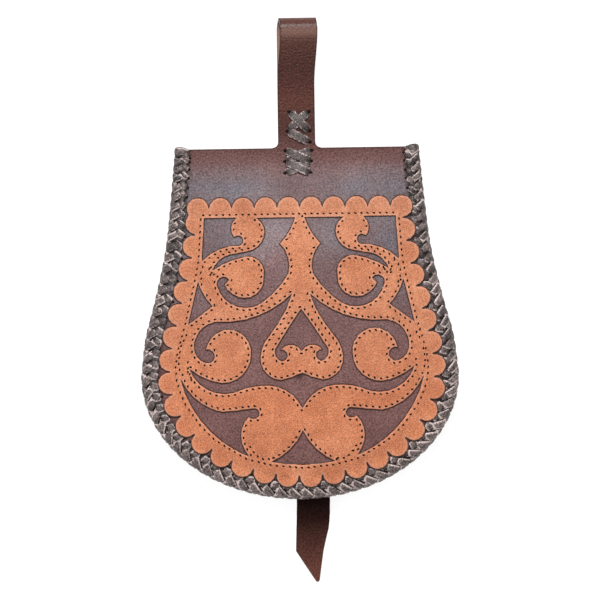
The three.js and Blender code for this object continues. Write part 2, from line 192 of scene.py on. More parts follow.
def addCoords(tree):
    coords = addNode(tree, "ShaderNodeTexCoord").outputs["Object"]
    return coords, addNode(tree, "ShaderNodeSeparateXYZ", {"Vector": coords}).outputs


def addAttribute(tree, name):
    return addNode(tree, "ShaderNodeAttribute", attribute_name=name).outputs["Fac"]


def addNoise(tree, coords, scale, detail=3, rough=0.55):
    made = addNode(tree, "ShaderNodeTexNoise", {"Vector": coords},
                   Scale=scale, Detail=detail, Roughness=rough)
    return made.outputs["Fac"]


def addRange(tree, source, start, end, low=0.0, high=1.0, kind="LINEAR"):
    ends = {"From Min": start, "From Max": end, "To Min": low, "To Max": high}
    made = addNode(tree, "ShaderNodeMapRange", {"Value": source}, interpolation_type=kind, **ends)
    return made.outputs["Result"]


def addMath(tree, operation, *values, clamp=False):
    made = addNode(tree, "ShaderNodeMath", operation=operation, use_clamp=clamp)
    for plug, value in zip(made.inputs, values):
        plugIn(tree, plug, value)
    return made.outputs[0]


def addRamp(tree, source, stops):
    ramp = addNode(tree, "ShaderNodeValToRGB", {"Fac": source})
    points = ramp.color_ramp.elements
    while len(points) < len(stops):
        points.new(0.5)
    for point, (position, colour) in zip(points, stops):
        point.position = position
        point.color = (*colour, 1)
    return ramp.outputs["Color"]


def addMix(tree, factor, a, b, blend="MIX"):
    mix = addNode(tree, "ShaderNodeMix", data_type="RGBA", blend_type=blend)
    plugIn(tree, mix.inputs["Factor"], factor)
    for plug, value in zip([s for s in mix.inputs if s.type == "RGBA"], (a, b)):
        plugIn(tree, plug, value if isinstance(value, bpy.types.NodeSocket) else (*value, 1))
    return next(s for s in mix.outputs if s.type == "RGBA")


def multiply(tree, a, b):
    return addMix(tree, 1.0, a, b, "MULTIPLY")


def addBump(tree, shader, height, strength, depth, invert=False):
    bump = addNode(tree, "ShaderNodeBump", {"Height": height},
                   Strength=strength, Distance=depth, invert=invert)
    tree.links.new(bump.outputs["Normal"], shader.inputs["Normal"])


def grey(value):
    return (value, value, value)


# ramps are rows of position and colour, lengths here are in metres
leatherLook = {
    "strap": (0.070, 0.0200, 0.0130), "face": (0.186, 0.091, 0.083),
    # the tail's very dark upper colour is painted shadow under the flap
    "tailShadow": (0.015, 0.006, 0.005), "tail": (0.124, 0.045, 0.032),
    "edge": (0.020, 0.008, 0.006), "sheenAndPaler": (0.33, 0.19, 0.15), "shine": (0.80, 0.94, 1.0),
    "patchScale": 45, "patch": [(0.3, (0.86, 0.85, 0.86)), (0.7, (1.14, 1.12, 1.10))],
    "speckScale": 1150, "upperSpecks": [(0.3, grey(0.38)), (0.7, grey(1.62))],
    "lowerSpecks": [(0.3, (0.50, 0.48, 0.47)), (0.7, (1.48, 1.51, 1.54))],
    "wearScale": 120, "wear": 0.16,
    "grainScale": 850, "grainSoft": 0.6, "grainStrength": 0.55, "grainDepth": 0.00025,
}
# each leather changes along y, from an upper colour, roughness and polish to a lower one; the tail's dark
# upper colour is painted shadow under the flap
leathers = {
    "flapLeather": {"y": (0.097, 0.065), "leatherColour": ("strap", "face"),
                    "rough": (0.26, 0.42), "polish": (0.15, 0.15)},
    "tailLeather": {"y": (-0.112, -0.158), "leatherColour": ("tailShadow", "tail"),
                    "rough": (0.45, 0.45), "polish": (0.03, 0.08)},
    "brownLeather": {"y": (0.08, -0.10), "leatherColour": ("strap", "face"),
                     "rough": (0.40, 0.42), "polish": (0.4, 0.4)},
}
flapSheenShadeAndTone = {
    # painted grey sheen from the belly up to the shoulder, in clouds and stronger at the sides
    "faceSheen": (0.150, 0.146, 0.164), "faceSheenY": (-0.05, 0.08), "cloudScale": 40,
    "byHeight": [(0.0, grey(0.05)), (0.32, grey(0.18)), (0.62, grey(0.9)),
                 (0.86, grey(0.75)), (0.97, grey(0.05))],
    "cloud": [(0.34, grey(0.45)), (0.64, grey(1.08))],
    "sideX": (0.012, 0.045), "side": [(0.0, grey(0.55)), (1.0, grey(1.12))],
    # painted shade on the shoulder, lighter and darker bands along the strap, and a painted sheen spot left
    # of the spearhead
    "shoulder": [(0.80, grey(1)), (0.88, (0.87, 0.93, 0.96)), (0.95, (0.97, 1.01, 1.04)), (1.0, grey(1))],
    "strapY": (0.10, 0.15),
    "strap": [(0.0, grey(1)), (0.18, (1.15, 1.18, 1.12)), (0.36, (0.95, 0.78, 0.70)),
              (0.56, (0.68, 0.56, 0.48)), (0.82, (0.85, 0.82, 0.72)), (1.0, grey(1))],
    "sheenSpot": (-0.016, 0.026, 0.024), "sheenReach": (0.004, 0.028),
    "paintedHighlight": [(0.0, (1.34, 1.38, 1.38)), (1.0, grey(1))],
}


def addFaceSheen(tree, coords, axes, leatherColour):
    # painted sheen: grey laid over the flap's colour by height, in clouds and stronger at the sides
    height = addRamp(tree, addRange(tree, axes["Y"], *flapSheenShadeAndTone["faceSheenY"]), flapSheenShadeAndTone["byHeight"])
    cloud = addRamp(tree, addNoise(tree, coords, flapSheenShadeAndTone["cloudScale"], 4), flapSheenShadeAndTone["cloud"])
    aside = addMath(tree, "ABSOLUTE", axes["X"])
    sides = addRamp(tree, addRange(tree, aside, *flapSheenShadeAndTone["sideX"]), flapSheenShadeAndTone["side"])
    return addMix(tree, multiply(tree, multiply(tree, height, cloud), sides), leatherColour, flapSheenShadeAndTone["faceSheen"])


def addShadeSheenAndTone(tree, coords, axes, leatherColour):
    # painted shade on the shoulder and a painted sheen spot; the strap's bands are lighter and darker along
    # y
    shoulder = addRamp(tree, addRange(tree, axes["Y"], *flapSheenShadeAndTone["faceSheenY"]), flapSheenShadeAndTone["shoulder"])
    strap = addRamp(tree, addRange(tree, axes["Y"], *flapSheenShadeAndTone["strapY"]), flapSheenShadeAndTone["strap"])
    away = addNode(tree, "ShaderNodeVectorMath", {0: coords}, operation="DISTANCE")
    away.inputs[1].default_value = flapSheenShadeAndTone["sheenSpot"]
    paintedHighlight = addRamp(tree, addRange(tree, away.outputs["Value"], *flapSheenShadeAndTone["sheenReach"]), flapSheenShadeAndTone["paintedHighlight"])
    return multiply(tree, multiply(tree, multiply(tree, leatherColour, shoulder), strap), paintedHighlight)


def leatherMaterial(name, sheenAndShade=False):
    look, leather = leatherLook, leathers[name]
    material, tree, shader = startMaterial(name)
    coords, axes = addCoords(tree)
    share = addRange(tree, axes["Y"], *leather["y"], kind="SMOOTHSTEP")
    leatherColour = addMix(tree, share, *(look[colour] for colour in leather["leatherColour"]))
    # the flap's face gets painted sheen, then painted shade on the shoulder, bands along the strap and a
    # painted sheen spot
    if sheenAndShade:
        leatherColour = addFaceSheen(tree, coords, axes, leatherColour)
    leatherColour = multiply(tree, leatherColour, addRamp(tree, addNoise(tree, coords, look["patchScale"], 5), look["patch"]))
    if sheenAndShade:
        leatherColour = addShadeSheenAndTone(tree, coords, axes, leatherColour)
    speck = addNoise(tree, coords, look["speckScale"], 2)
    upper = addRamp(tree, speck, look["upperSpecks"])
    specks = addMix(tree, share, upper, addRamp(tree, speck, look["lowerSpecks"]))
    # painted sheen below the strap's fold, and paler leather over the fold and inside the loop
    sheenAndPaler = addMix(tree, addAttribute(tree, "sheenAndPaler"), multiply(tree, leatherColour, specks), look["sheenAndPaler"])
    # dark burnish on the edges and painted shade under the plait
    burnishAndShade = addMix(tree, addAttribute(tree, "edge"), sheenAndPaler, look["edge"])
    tree.links.new(burnishAndShade, shader.inputs["Base Color"])
    rough = addRange(tree, share, 0, 1, *leather["rough"])
    wear = addMath(tree, "MULTIPLY_ADD", addNoise(tree, coords, look["wearScale"], 4), look["wear"], rough)
    tree.links.new(wear, shader.inputs["Roughness"])
    tree.links.new(addRange(tree, share, 0, 1, *leather["polish"]), shader.inputs["Specular IOR Level"])
    shader.inputs["Specular Tint"].default_value = (*look["shine"], 1)
    cells = addNode(tree, "ShaderNodeTexVoronoi", {"Vector": coords}, feature="SMOOTH_F1",
                    Scale=look["grainScale"], Smoothness=look["grainSoft"])
    addBump(tree, shader, cells.outputs["Distance"], look["grainStrength"], look["grainDepth"], True)
    return material


suedeLook = {
    "tones": [(0.30, (0.52, 0.182, 0.088)), (0.5, (0.61, 0.228, 0.113)), (0.72, (0.71, 0.290, 0.152))],
    "toneScale": 70, "cut": (0.84, 0.47, 0.34), "paled": 0.26,
    # under colours the cut wall: the suede's dark cut edge with painted shadow round the suede
    "under": (0.050, 0.015, 0.010), "darkCutAndShadow": -1.4,
    # darker and greyer towards the top, darker and redder low down
    "heightTintY": (-0.08, 0.06),
    "heightTint": [(0.0, (1.02, 0.97, 0.95)), (0.16, (0.95, 0.87, 0.83)), (0.5, (0.95, 0.97, 1.02)),
             (0.72, (0.99, 1.00, 1.02)), (0.95, (0.83, 0.87, 0.95))],
    "napScale": 1500, "nap": [(0.28, grey(0.50)), (0.72, grey(1.40))],
    "napStrength": 0.4, "napDepth": 0.0003,
    "rough": 0.95, "polish": 0.15, "sheen": 0.15, "sheenRough": 0.6,
}


def suedeMaterial():
    look = suedeLook
    material, tree, shader = startMaterial("orangeSuede")
    coords, axes = addCoords(tree)
    tone = addRamp(tree, addNoise(tree, coords, look["toneScale"], 5, 0.62), look["tones"])
    nap = addNoise(tree, coords, look["napScale"], 2)
    heightTint = addRamp(tree, addRange(tree, axes["Y"], *look["heightTintY"]), look["heightTint"])
    napped = multiply(tree, multiply(tree, tone, heightTint), addRamp(tree, nap, look["nap"]))
    rim = addAttribute(tree, "edge")  # above 0 near a cut, below 0 on it
    paled = addMath(tree, "MULTIPLY", rim, look["paled"], clamp=True)
    # the cut wall is the suede's dark cut edge with painted shadow round the suede
    darkCutAndShadow = addMath(tree, "MULTIPLY", rim, look["darkCutAndShadow"], clamp=True)
    cut = addMix(tree, darkCutAndShadow, addMix(tree, paled, napped, look["cut"]), look["under"])
    tree.links.new(cut, shader.inputs["Base Color"])
    addBump(tree, shader, nap, look["napStrength"], look["napDepth"])
    shader.inputs["Roughness"].default_value = look["rough"]
    shader.inputs["Specular IOR Level"].default_value = look["polish"]
    shader.inputs["Sheen Weight"].default_value = look["sheen"]
    shader.inputs["Sheen Roughness"].default_value = look["sheenRough"]
    return material


laceLook = {
    "tones": [(0.0, (0.014, 0.010, 0.009)), (1.0, (0.180, 0.134, 0.127))], "fray": (0.70, 0.565, 0.535),
    "fibreScale": 1500, "streaks": [(0.3, grey(0.45)), (0.7, grey(1.7))],
    "fibreStrength": 0.4, "fibreDepth": 0.0003,
    "waxScale": 800, "wax": [(0.32, grey(0.22)), (0.68, grey(1.80))],
    "frayFibre": 1.7, "frayFrom": (1.40, 2.0), "rough": 0.48,
}


def laceMaterial():
    look = laceLook
    material, tree, shader = startMaterial("greyLace")
    coords, axes = addCoords(tree)
    fibres = addNoise(tree, coords, look["fibreScale"], 3, 0.65)
    waxed = addRamp(tree, addNoise(tree, coords, look["waxScale"], 2), look["wax"])
    tone = multiply(tree, addRamp(tree, addAttribute(tree, "tone"), look["tones"]), waxed)
    streaked = multiply(tree, tone, addRamp(tree, fibres, look["streaks"]))
    frayed = addMath(tree, "MULTIPLY_ADD", fibres, look["frayFibre"], addAttribute(tree, "edge"))
    share = addRange(tree, frayed, *look["frayFrom"], kind="SMOOTHSTEP")
    tree.links.new(addMix(tree, share, streaked, look["fray"]), shader.inputs["Base Color"])
    addBump(tree, shader, fibres, look["fibreStrength"], look["fibreDepth"])
    shader.inputs["Roughness"].default_value = look["rough"]
    return material


threadLook = {
    "tones": [(0.3, (0.002, 0.001, 0.001)), (0.7, (0.012, 0.005, 0.004))],
    "twistScale": 3000, "rough": 0.8, "polish": 0.15,
}


def threadMaterial():
    look = threadLook
    material, tree, shader = startMaterial("darkThreadAndHoleShade")
    coords, axes = addCoords(tree)
    twist = addNoise(tree, coords, look["twistScale"], 2)
    tree.links.new(addRamp(tree, twist, look["tones"]), shader.inputs["Base Color"])
    shader.inputs["Roughness"].default_value = look["rough"]
    shader.inputs["Specular IOR Level"].default_value = look["polish"]
    return material


flapLeather = leatherMaterial("flapLeather", True)
tailLeather = leatherMaterial("tailLeather")
brownLeather = leatherMaterial("brownLeather")
greyLace = laceMaterial()
orangeSuede = suedeMaterial()
darkThreadAndHoleShade = threadMaterial()
print("materials ready")


# flap and belt loop, one leather
flap = {
    "columns": 48, "upper": 40, "lower": 24, "rounding": 0.5, "topRow": 0.35,
    "ripple": 0.22, "rippleSize": 26, "rippleRun": 20,
    "strapColumns": 5, "strapHalf": 10.2, "edgeColumn": 0.91, "fillet": 3.4,
    "loopTop": 155.65, "loopOpen": 118, "loopClosed": 107, "tuckedEnd": 66, "tuckedZ": 7.1,
    "slip": 2.2, "slipY": (118, 150),  # how far the fold leans to the right
    "filletRows": 8, "frontRows": 22, "foldRows": 16, "backRows": 8, "bendRows": 10, "tuckedRows": 8,
    # dark burnish on the top edge and the strap edges, and painted shade under the plait, where it reaches
    # further in beside the suede
    "topDark": 0.60, "strapDark": 0.85, "plaitShade": 0.9, "plaitReach": (7.6, 9.4),
    "suedeTop": 55, "suedeRun": 12, "suedeReach": 2.2,
    # painted sheen round a height below the fold; paler a little over the fold, and along the inner leaf's
    # left edge inside the loop
    "faceAbove": 5, "foldSheenY": 148.6, "foldSheenUp": 2.6, "foldSheenDown": 3.5, "lightening": 0.41,
    "foldY": (150, 153), "foldPaler": 0.11, "insidePaler": 0.75, "insideFrom": (0.7, 0.9),
}


def strapStations():
    # rows along the strap: y, z, slip to the right and half width
    fold = (body["flapEdgeZ"] + body["leather"]) / 2
    reach = fold - body["leather"] / 2
    foldY = flap["loopTop"] - fold
    front = body["flapEdgeZ"] + body["leather"] / 2
    half = flap["strapHalf"]
    stations = []
    for i in range(1, flap["filletRows"] + 1):
        up = math.sin(math.pi / 2 * i / flap["filletRows"])
        wider = flap["fillet"] * (1 - math.sin(math.acos(1 - up)))
        stations.append((body["topY"] + flap["fillet"] * up, front, 0, half + wider))
    for i in range(1, flap["frontRows"] + 1):
        y = lerp(body["topY"] + flap["fillet"], foldY, i / flap["frontRows"])
        stations.append((y, front, flap["slip"] * smoothStep(y, *flap["slipY"]), half))
    for i in range(1, flap["foldRows"] + 1):
        turn = math.pi * i / flap["foldRows"]
        slip = flap["slip"] * (1 - i / flap["foldRows"])
        stations.append((foldY + reach * math.sin(turn), fold + reach * math.cos(turn), slip, half))
    for i in range(1, flap["backRows"] + 1):
        stations.append((lerp(foldY, flap["loopOpen"], i / flap["backRows"]), fold - reach, 0, half))
    tuckedZ = flap["tuckedZ"] + body["leather"] / 2
    for i in range(1, flap["bendRows"] + 1):
        z = lerp(fold - reach, tuckedZ, smoothStep(i, 0, flap["bendRows"]))
        stations.append((lerp(flap["loopOpen"], flap["loopClosed"], i / flap["bendRows"]), z, 0, half))
    for i in range(1, flap["tuckedRows"] + 1):
        y = lerp(flap["loopClosed"], flap["tuckedEnd"], i / flap["tuckedRows"])
        stations.append((y, tuckedZ, 0, half))
    return stations


def strapBurnishAndSheen(u, y, z):
    # burnish of a point on the strap, with painted sheen below the fold, paler leather over the fold and
    # along the inner leaf's left edge
    if z <= flap["faceAbove"]:
        return 0.0, flap["insidePaler"] * smoothStep(-u, *flap["insideFrom"])
    run = flap["foldSheenUp"] if y > flap["foldSheenY"] else flap["foldSheenDown"]
    lightening = flap["lightening"] * math.exp(-((y - flap["foldSheenY"]) / run) ** 2)
    overFold = flap["foldPaler"] * smoothStep(y, *flap["foldY"])
    return flap["strapDark"] if abs(u) == 1 else 0.0, max(lightening, overFold)


def drawStrap(bm, edgeLayer, sheenAndPalerLayer):
    # the strap is drawn out of the middle of the flap's top edge
    top = sorted((v for v in bm.verts if v.co.y > (body["topY"] - 0.01) * mm), key=lambda v: v.co.x)
    columns, middle = flap["strapColumns"], flap["columns"] // 2
    line = top[middle - columns:middle + columns + 1]
    for v in line[1:-1]:
        v[edgeLayer] = 0
    edges = [e for e in bm.edges if all(v in line for v in e.verts)]
    side = flap["edgeColumn"]
    across = [-1, -side] + [i / columns for i in range(2 - columns, columns - 1)] + [side, 1]
    for y, z, slip, half in strapStations():
        geom = bmesh.ops.extrude_edge_only(bm, edges=edges)["geom"]
        line = sorted((g for g in geom if isinstance(g, bmesh.types.BMVert)), key=lambda v: v.co.x)
        edges = [g for g in geom if isinstance(g, bmesh.types.BMEdge) and all(v in line for v in g.verts)]
        for v, u in zip(line, across):
            v.co = Vector((slip + u * half, y, z)) * mm
            v[edgeLayer], v[sheenAndPalerLayer] = strapBurnishAndSheen(u, y, z)


def buildFlap():
    bm = bmesh.new()
    edgeLayer = bm.verts.layers.float.new("edge")
    sheenAndPalerLayer = bm.verts.layers.float.new("sheenAndPaler")
    rows = flap["upper"] + flap["lower"]

    def place(u, f):
        if round(f * rows) == 1:
            f = flap["topRow"] / rows  # close to the top edge, for its burnish
        half, y = outlineRow(f, flap["upper"], flap["lower"], body["flapEdge"], body["topY"])
        x = u * half
        size = flap["rippleSize"]
        wave = flap["ripple"] * noise.noise(Vector((x / size, y / size, 3)))
        return x, y, flapMiddle(x, y) + wave * smoothStep(body["topY"] - y, 0, flap["rippleRun"])

    def burnish(u, f):
        return 0.0 if round(f * rows) else flap["topDark"]

    layGrid(bm, flap["columns"], rows, place, edgeLayer, burnish)
    # painted shade on the leather under the plait, reaching further in beside the suede
    for v in bm.verts:
        x, y = v.co.x / mm, v.co.y / mm
        further = flap["suedeReach"] * smoothStep(flap["suedeTop"] - y, 0, flap["suedeRun"])
        near, far = flap["plaitReach"]
        under = 1 - smoothStep(fromSilhouette(x, y), near + further, far + further)
        v[edgeLayer] = max(v[edgeLayer], flap["plaitShade"] * under)
    bmesh.ops.remove_doubles(bm, verts=bm.verts, dist=seam)
    drawStrap(bm, edgeLayer, sheenAndPalerLayer)
    bmesh.ops.recalc_face_normals(bm, faces=bm.faces)
    if sum(f.normal.z * f.calc_area() for f in bm.faces) < 0:
        bmesh.ops.reverse_faces(bm, faces=bm.faces)
    obj = makePiece("flapAndLoop", bm, flapLeather, ["flap_and_loop"])
    thicken(obj, body["leather"], flap["rounding"])


buildFlap()


# plaited lace round an edge: t runs round the leather from the front holes to the back ones, s along it
braid = {
    # from hole to hole at heights along the edge: close at the upper ends, drawn out along the bottom
    "pitch": [(-109.5, 7.3), (-55, 6.9), (0, 6.2), (33, 6.0), (60, 5.3), (84, 4.5)],
    "thickness": 0.95, "air": 0.2, "overhang": 2.0, "holeInset": 9.6, "turnInset": 3.0, "turnReach": 2.5,
    # share of its spacing that a lace fills and its lean along the edge, at the upper ends and the bottom
    "inner": {"wide": (0.78, 0.84), "lean": (2.3, 0.6), "arch": 0.22},
    "outer": {"wide": (0.77, 0.88), "lean": (4.4, 6.4), "arch": 0.65},
    "edge": {"wide": (0.85, 0.85), "lean": (-2.0, -3.4), "arch": 0.15},
    "under": {"wide": (0.7, 0.7), "lean": (-3.2, -4.2), "arch": -0.55},
    # where the bottom's shape begins, and the painted highlight that makes the laces paler towards the
    # bottom
    "lowY": 40, "lowRun": 125, "highlightY": 28, "highlightRun": 138,
    "hole": (1.3, 0.1), "holeY": 55, "holeRun": 20, "turn": (3.9, 3.6), "rim": (9.6, 9.3),  # places on t
    "overlap": 1.0, "edgeHalf": 2.6, "underIn": 0.8, "underOut": 1,
    "tuck": -0.6, "firstTuck": 1.9, "endRoom": 1.5,
    "jitter": 0.28, "sway": (0.93, 1.07), "wideSway": (0.93, 1.06), "archSway": (0.85, 1.15),
    "tone": (0.2, 0.68), "lightening": (0.3, 0.75), "mostRubbed": 1.22,
    # painted shade: the crossing laces underneath are near black
    "underShade": (0.05, 0.2), "underRubbed": (0, 0.2),
    # section of a lace: where its rubbed line lies, how it rounds, sinks at its ends and narrows at a hole
    "columns": 4, "rows": 6, "rubbedLine": 1.56, "crown": 0.8, "fullness": 0.8,
    "sink": 0.75, "holeSink": 1.4, "endSink": 0.8, "narrowed": 0.35,
    # laces are painted darker towards their ends, where they dive under: painted shade
    "turnDown": (0.1, 0.2), "holeRubbed": 0.9, "endShade": 0.35,
    # the two ends are wrapped straight round
    "wrap": {"s": 0.9, "t": 1.4, "over": 1, "half": 2.1, "arch": 0.72, "taper": 0.4,
             "tone": (0.2, 1), "lightening": (0.3, 1.2)},
    "holeHalf": 0.85, "holeLong": 1.25, "holeShift": 0.2, "holeRise": 0.06,
}


def edgePath(inset, top, steps=200, rows=40):
    points = []
    for i in range(2 * steps + 1):
        f = i / steps
        half, y = outlineRow(min(f, 2 - f), rows, rows, inset, top)
        points.append(Vector((-half if f <= 1 else half, y)))
    lengths = [0.0]
    for a, b in zip(points, points[1:]):
        lengths.append(lengths[-1] + (b - a).length)
    return points, lengths


def onPath(path, s):
    # point at s along the edge and the way inwards from it
    points, lengths = path
    low, high = 0, len(lengths) - 2
    while low < high:
        mid = (low + high + 1) // 2
        if lengths[mid] <= s:
            low = mid
        else:
            high = mid - 1
    along = (points[low + 1] - points[low]).normalized()
    return points[low] + along * (s - lengths[low]), Vector((-along.y, along.x))


def wrapSizes(halfHeld):
    # height of a lace over the middle of what it holds, then its flat run and its turn round the edge
    level = halfHeld + braid["air"] + braid["thickness"] / 2
    return level, braid["holeInset"] - braid["turnInset"], math.pi * (braid["turnReach"] + level) / 2


def sectionPoint(t, halfHeld):
    # inset and height at t, and the way out of the plait there
    level, flat, turn = wrapSizes(halfHeld)
    if t < flat:
        return braid["holeInset"] - t, level, 0, 1
    if t < flat + turn:
        angle = math.pi * (t - flat) / turn
        inset = braid["turnInset"] - braid["turnReach"] * math.sin(angle)
        return inset, level * math.cos(angle), -math.sin(angle), math.cos(angle)
    return braid["turnInset"] + t - flat - turn, -level, 0, -1


def buildBraid(name, node, leatherInset, top, level, halfHeld):
    bm = bmesh.new()
    edgeLayer = bm.verts.layers.float.new("edge")
    toneAndShadeLayer = bm.verts.layers.float.new("tone")
    path = edgePath(leatherInset, top)
    length = path[1][-1]
    flat, turnRound = wrapSizes(halfHeld)[1:]
    full = 2 * flat + turnRound
    middle = full / 2

    def heightAt(s):
        return onPath(path, min(length, max(0, s)))[0].y

    def strip(fromT, toT, fromS, toS, wide, high, tones, lightening, holeStart=False, holeEnd=False, taper=0.0):
        tone = rng.uniform(*tones)
        light = [rng.uniform(*lightening) for side in range(3)]
        wide *= rng.uniform(*braid["wideSway"])
        high *= rng.uniform(*braid["archSway"])
        alongT, alongS = toT - fromT, toS - fromS
        size = math.hypot(alongT, alongS)

        def place(u, f):
            narrowed = braid["narrowed"] * (holeStart * (1 - f) ** 3 + holeEnd * f ** 3)
            width = wide * (1 - narrowed) * (1 - taper * abs(2 * f - 1) ** 2)
            across = u * width * (braid["rubbedLine"] if abs(u) == 0.5 else 1)
            t = fromT + alongT * f - across * alongS / size
            s = fromS + alongS * f + across * alongT / size
            inset, height, outX, outZ = sectionPoint(min(full, max(0, t)), halfHeld)
            bow = math.sin(math.pi * f) ** braid["fullness"]
            sink = braid["holeSink"] if (holeStart if f < 0.5 else holeEnd) else braid["endSink"]
            off = high * bow - braid["sink"] * (1 - bow) * sink - braid["crown"] * u * u
            point, inward = onPath(path, s)
            spot = point + inward * (inset + outX * off - braid["overhang"])
            return spot.x, spot.y, level(spot.x, spot.y) + height + outZ * off

        def fray(u, f):  # pale where the lace is rubbed, along its sides and where it turns down
            near, far = braid["turnDown"]
            if abs(u) == 0.5:
                return light[0 if u < 0 else 1]
            if holeStart and f < far:
                return braid["holeRubbed"] * light[2] * (f > 0)
            return light[2] if near < f < far and abs(u) < 1 else 0.0

        # painted shade: darker towards each lace's sides and ends
        def shade(u, f):
            return tone * (1 - abs(u)) * lerp(braid["endShade"], 1, math.sin(math.pi * f))

        layGrid(bm, braid["columns"], braid["rows"], place, edgeLayer, fray, toneAndShadeLayer, shade)

    def lace(kind, step, fromT, toT, fromS, toS, **ends):
        pitch, low, paintedHighlight = step
        tones, lightening = braid["underShade"], braid["underRubbed"]
        if kind != "under":
            # painted highlight: lighter tones and rubbed lines towards the bottom
            tones = (lerp(*braid["tone"], paintedHighlight), 1)
            lightening = (lerp(*braid["lightening"], paintedHighlight), braid["mostRubbed"])
        slanted = (toT - fromT) / math.hypot(toT - fromT, toS - fromS)
        wide = lerp(*braid[kind]["wide"], low) * pitch / 2 * slanted
        strip(fromT, toT, fromS, toS, wide, braid[kind]["arch"], tones, lightening, **ends)

    starts = [0.0]
    while starts[-1] < length:
        starts.append(starts[-1] + alongRows(braid["pitch"], heightAt(starts[-1])))
    fit = length / starts[-1]
    holes = []
    for a, b in zip(starts, starts[1:]):
        at = a * fit + rng.uniform(-1, 1) * braid["jitter"]
        y = heightAt(at)
        low = smoothStep(braid["lowY"] - y, 0, braid["lowRun"])
        pitch = (b - a) * fit
        step = pitch, low, smoothStep(braid["highlightY"] - y, 0, braid["highlightRun"])
        lean = {kind: lerp(*braid[kind]["lean"], low) * rng.uniform(*braid["sway"])
                for kind in ("inner", "outer", "edge", "under")}
        over = at + lean["outer"]
        if over > length + braid["endRoom"]:
            continue
        hole = lerp(*braid["hole"], smoothStep(braid["holeY"] - y, 0, braid["holeRun"]))
        turn = lerp(*braid["turn"], low)
        rim = lerp(*braid["rim"], low)
        tuck = max(at + braid["tuck"], braid["firstTuck"])
        back = tuck + lean["outer"]
        folded = turn + braid["overlap"]
        lace("inner", step, hole, folded, tuck + lean["inner"], tuck, holeStart=True)
        lace("inner", step, full - folded, full - hole, back, back - lean["inner"], holeEnd=True)
        beside = over + pitch / 2
        edgeHalf = braid["edgeHalf"]
        if beside < length:
            lace("edge", step, middle - edgeHalf, middle + edgeHalf, beside, beside + lean["edge"])
        lace("outer", step, turn, rim, at, over)
        lace("outer", step, full - rim, full - turn, at, over)
        underIn, underOut = hole + braid["underIn"], rim - braid["underOut"]
        between, half = at + pitch / 2, lean["under"] / 2
        lace("under", step, underIn, underOut, between - half, between + half)
        lace("under", step, full - underOut, full - underIn, between + half, between - half)
        holes.append((*onPath(path, tuck + lean["inner"]), hole))
    wrap = braid["wrap"]
    for s in (wrap["s"], length - wrap["s"]):
        shape = (s, s, wrap["half"], wrap["arch"], wrap["tone"], wrap["lightening"])
        strip(wrap["t"], middle + wrap["over"], *shape, holeStart=True, taper=wrap["taper"])
        strip(middle - wrap["over"], full - wrap["t"], *shape, holeEnd=True, taper=wrap["taper"])
    thicken(makePiece(name, bm, greyLace, [node]), braid["thickness"])
    return holes


def bodyMiddle(x, y):
    return (body["panelZ"] + body["flangeTop"]) / 2


flapHalf = body["leather"] / 2
bodyHalf = (body["flangeTop"] - body["panelZ"]) / 2
flapHoles = buildBraid("flapBraid", "flap_braid", body["flapEdge"], body["topY"], flapMiddle, flapHalf)
buildBraid("bodyBraid", "body_braid", body["bodyEdge"], body["mouthY"], bodyMiddle, bodyHalf)


def buildBraidHoles():
    bm = bmesh.new()
    # dark coins at the lace holes: painted shade inside the holes
    for point, inward, hole in flapHoles:
        spot = point + inward * (braid["holeInset"] - hole - body["flapEdge"] + braid["holeShift"])
        coin = bmesh.ops.create_cone(bm, cap_ends=True, segments=10, radius1=1, radius2=1, depth=2)["verts"]
        for v in coin:
            x = spot.x + (v.co.x * inward.x * braid["holeLong"] - v.co.y * inward.y) * braid["holeHalf"]
            y = spot.y + (v.co.x * inward.y * braid["holeLong"] + v.co.y * inward.x) * braid["holeHalf"]
            z = flapMiddle(x, y) + body["leather"] / 2 + braid["holeRise"] * v.co.z
            v.co = Vector((x, y, z)) * mm
    makePiece("braidHoles", bm, darkThreadAndHoleShade)


buildBraidHoles()


# suede appliqué: the part's own outline, laid smoothly on the flap
suede = {
    "thickness": 1.3, "air": 0.15, "overBraid": 1.45, "overFrom": 13, "overRun": 6,
    "ripple": 0.1, "rippleSize": 7,
    "cell": 2.0, "trace": 0.3, "softEdge": 0.6, "edgeDrop": 0.40,
    "upFacing": 0.3, "straight": 0.02, "sharp": 60,
    "slant": (0.36, -0.12),  # the cut slants out at its foot and in at its top
    # the cut wall is dark: the suede's dark cut edge and painted shadow round the suede
    "darkCut": -1.0, "paleBand": (0.55, 1.5),
}
# rows of stitches, right half: along the rim, and where a scroll, a stem or a lobe runs on into it
stitching = {
    "middleX": 1.1, "inset": 1.55, "pitch": 3.3, "apart": 1.75, "joinApart": 1.0,
    "clear": 0.86, "rimClear": 1.1, "rowBreak": 1.5, "lookAhead": 4, "shortest": 0.2,
    "rim": [(54.2, 47.2), (55.8, 22.5), (58.2, 10.6), (63.8, -13), (68.2, -28), (69.3, -36), (68.9, -43),
            (66.9, -50), (64.2, -56.5), (55.7, -68.6), (48.4, -76), (31, -86.8), (17.3, -90.3)],
    "rimBottom": -92.0,
    "joins": [[(63.1, -18.4), (66.2, -24.5), (67.3, -30.9), (67.6, -34.8), (66.9, -38.3), (65.0, -40.9)],
              [(62.5, -33.3), (62.5, -36.3), (59.9, -45.8)],
              [(29, -80.1), (27, -83.2), (24.2, -86.1), (21.3, -87.1), (17.6, -86.6), (14.2, -85.7)],
              [(51.5, 21.4), (53.7, 18.8), (54.7, 16), (54.5, 12.4), (53.3, 9.1)],
              [(50, 17.8), (49.5, 14.9), (49, 12)], [(45.4, 17.4), (47.4, 14.7)]],
    "long": 0.86, "wide": 0.54, "high": 0.2, "turned": -0.45, "sway": 0.2, "lift": 0.02,
}


